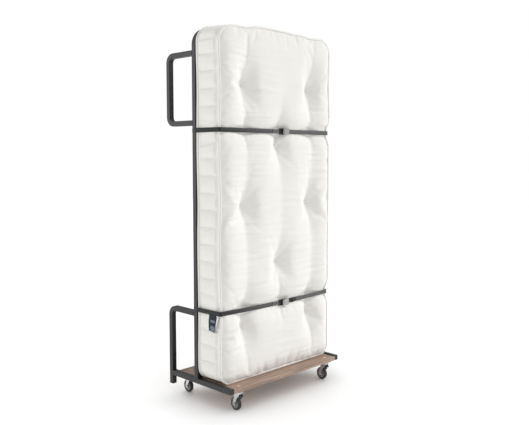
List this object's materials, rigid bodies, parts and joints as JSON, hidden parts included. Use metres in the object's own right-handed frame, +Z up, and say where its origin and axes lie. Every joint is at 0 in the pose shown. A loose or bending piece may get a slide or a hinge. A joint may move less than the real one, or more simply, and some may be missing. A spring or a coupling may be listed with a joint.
{
  "type": "upright-storing spare bed",
  "caption": "Spare bed that stores upright: deep tufted mattress strapped to a square-tube frame with leg loops, standing on its wooden headboard and braked castors.",
  "frame": {"origin": "on the floor at the middle of the whole bed's plan, stored upright", "axes": "+Z up along the mattress's length, -Y the way the sleeping face looks, +X across the bed to the right seen from the front"},
  "size_m": [0.9402, 0.536, 2.1425],
  "materials": {
    "frame_paint": "satin",
    "black_plastic": "matte",
    "board_walnut": "satin",
    "plug_wood": "satin",
    "slat_beech": "satin",
    "zinc_screw": "satin",
    "castor_plate_black": "satin",
    "castor_chrome": "polished",
    "tyre_rubber": "matte",
    "hub_grey": "matte",
    "ticking": "matte",
    "label_navy": "matte",
    "webbing": "matte",
    "buckle_black": "satin",
    "buckle_satin": "satin"
  },
  "bodies": {
    "bed": {"left_side_tube": "frame_paint", "right_side_tube": "frame_paint", "top_left_bend": "frame_paint", "top_right_bend": "frame_paint", "top_cross_tube": "frame_paint", "bottom_cross_tube": "frame_paint", "foot_leg_left": "frame_paint", "foot_leg_right": "frame_paint", "head_leg_left": "frame_paint", "head_leg_right": "frame_paint", "base_rail_left": "frame_paint", "base_rail_right": "frame_paint", "rail_cap_left": "black_plastic", "rail_cap_right": "black_plastic", "leg_cap_left": "black_plastic", "leg_cap_right": "black_plastic", "headboard": "board_walnut", "board_plugs": "plug_wood", "board_lugs": "frame_paint", "castor_screws": "zinc_screw", "lug_screws": "zinc_screw", "sprung_slats": "slat_beech", "slat_holders": "black_plastic", "castor_kingpins": "castor_chrome", "mattress": "ticking", "mattress_label": "label_navy", "strap_upper": "webbing", "strap_lower": "webbing", "buckle_frame_upper": "buckle_black", "buckle_frame_lower": "buckle_black", "castor_plate_front_left": "castor_plate_black", "castor_plate_front_right": "castor_plate_black", "castor_plate_rear_left": "castor_plate_black", "castor_plate_rear_right": "castor_plate_black"},
    "swivel_front_left": {"castor_fork_front_left": "castor_chrome", "castor_axle_front_left": "castor_chrome"},
    "wheel_front_left": {"castor_hub_front_left": "hub_grey", "castor_tyre_front_left": "tyre_rubber"},
    "pedal_front_left": {"brake_pedal_front_left": "black_plastic"},
    "swivel_front_right": {"castor_fork_front_right": "castor_chrome", "castor_axle_front_right": "castor_chrome"},
    "wheel_front_right": {"castor_hub_front_right": "hub_grey", "castor_tyre_front_right": "tyre_rubber"},
    "pedal_front_right": {"brake_pedal_front_right": "black_plastic"},
    "swivel_rear_left": {"castor_fork_rear_left": "castor_chrome", "castor_axle_rear_left": "castor_chrome"},
    "wheel_rear_left": {"castor_hub_rear_left": "hub_grey", "castor_tyre_rear_left": "tyre_rubber"},
    "pedal_rear_left": {"brake_pedal_rear_left": "black_plastic"},
    "swivel_rear_right": {"castor_fork_rear_right": "castor_chrome", "castor_axle_rear_right": "castor_chrome"},
    "wheel_rear_right": {"castor_hub_rear_right": "hub_grey", "castor_tyre_rear_right": "tyre_rubber"},
    "pedal_rear_right": {"brake_pedal_rear_right": "black_plastic"},
    "cam_lever_upper": {"buckle_lever_upper": "buckle_satin"},
    "cam_lever_lower": {"buckle_lever_lower": "buckle_satin"}
  },
  "joints": [
    {"name": "castor_swivel_front_left", "type": "hinge", "parent": "bed", "child": "swivel_front_left", "pos_m": [-0.3745, -0.237, 0.108], "axis": [0, 0, 1], "continuous": true},
    {"name": "castor_roll_front_left", "type": "hinge", "parent": "swivel_front_left", "child": "wheel_front_left", "pos_m": [-0.37232, -0.2121, 0.0375], "axis": [0.9962, -0.0872, 0], "continuous": true},
    {"name": "brake_press_front_left", "type": "hinge", "parent": "swivel_front_left", "child": "pedal_front_left", "pos_m": [-0.3752, -0.24497, 0.0882], "axis": [0.9962, -0.0872, 0], "range_deg": [0, 14]},
    {"name": "castor_swivel_front_right", "type": "hinge", "parent": "bed", "child": "swivel_front_right", "pos_m": [0.3745, -0.237, 0.108], "axis": [0, 0, 1], "continuous": true},
    {"name": "castor_roll_front_right", "type": "hinge", "parent": "swivel_front_right", "child": "wheel_front_right", "pos_m": [0.37668, -0.2121, 0.0375], "axis": [0.9962, -0.0872, 0], "continuous": true},
    {"name": "brake_press_front_right", "type": "hinge", "parent": "swivel_front_right", "child": "pedal_front_right", "pos_m": [0.3738, -0.24497, 0.0882], "axis": [0.9962, -0.0872, 0], "range_deg": [0, 14]},
    {"name": "castor_swivel_rear_left", "type": "hinge", "parent": "bed", "child": "swivel_rear_left", "pos_m": [-0.3745, 0.182, 0.108], "axis": [0, 0, 1], "continuous": true},
    {"name": "castor_roll_rear_left", "type": "hinge", "parent": "swivel_rear_left", "child": "wheel_rear_left", "pos_m": [-0.37232, 0.20691, 0.0375], "axis": [0.9962, -0.0872, 0], "continuous": true},
    {"name": "brake_press_rear_left", "type": "hinge", "parent": "swivel_rear_left", "child": "pedal_rear_left", "pos_m": [-0.3752, 0.17403, 0.0882], "axis": [0.9962, -0.0872, 0], "range_deg": [0, 14]},
    {"name": "castor_swivel_rear_right", "type": "hinge", "parent": "bed", "child": "swivel_rear_right", "pos_m": [0.3745, 0.182, 0.108], "axis": [0, 0, 1], "continuous": true},
    {"name": "castor_roll_rear_right", "type": "hinge", "parent": "swivel_rear_right", "child": "wheel_rear_right", "pos_m": [0.37668, 0.20691, 0.0375], "axis": [0.9962, -0.0872, 0], "continuous": true},
    {"name": "brake_press_rear_right", "type": "hinge", "parent": "swivel_rear_right", "child": "pedal_rear_right", "pos_m": [0.3738, 0.17403, 0.0882], "axis": [0.9962, -0.0872, 0], "range_deg": [0, 14]},
    {"name": "buckle_release_upper", "type": "hinge", "parent": "bed", "child": "cam_lever_upper", "pos_m": [0.037, -0.1921, 1.562], "axis": [0, 0, -1], "range_deg": [0, 60], "stiffness_Nm_per_rad": 0.08, "springref_deg": -20.05},
    {"name": "buckle_release_lower", "type": "hinge", "parent": "bed", "child": "cam_lever_lower", "pos_m": [0.037, -0.1921, 0.545], "axis": [0, 0, -1], "range_deg": [0, 60], "stiffness_Nm_per_rad": 0.08, "springref_deg": -20.05}
  ]
}
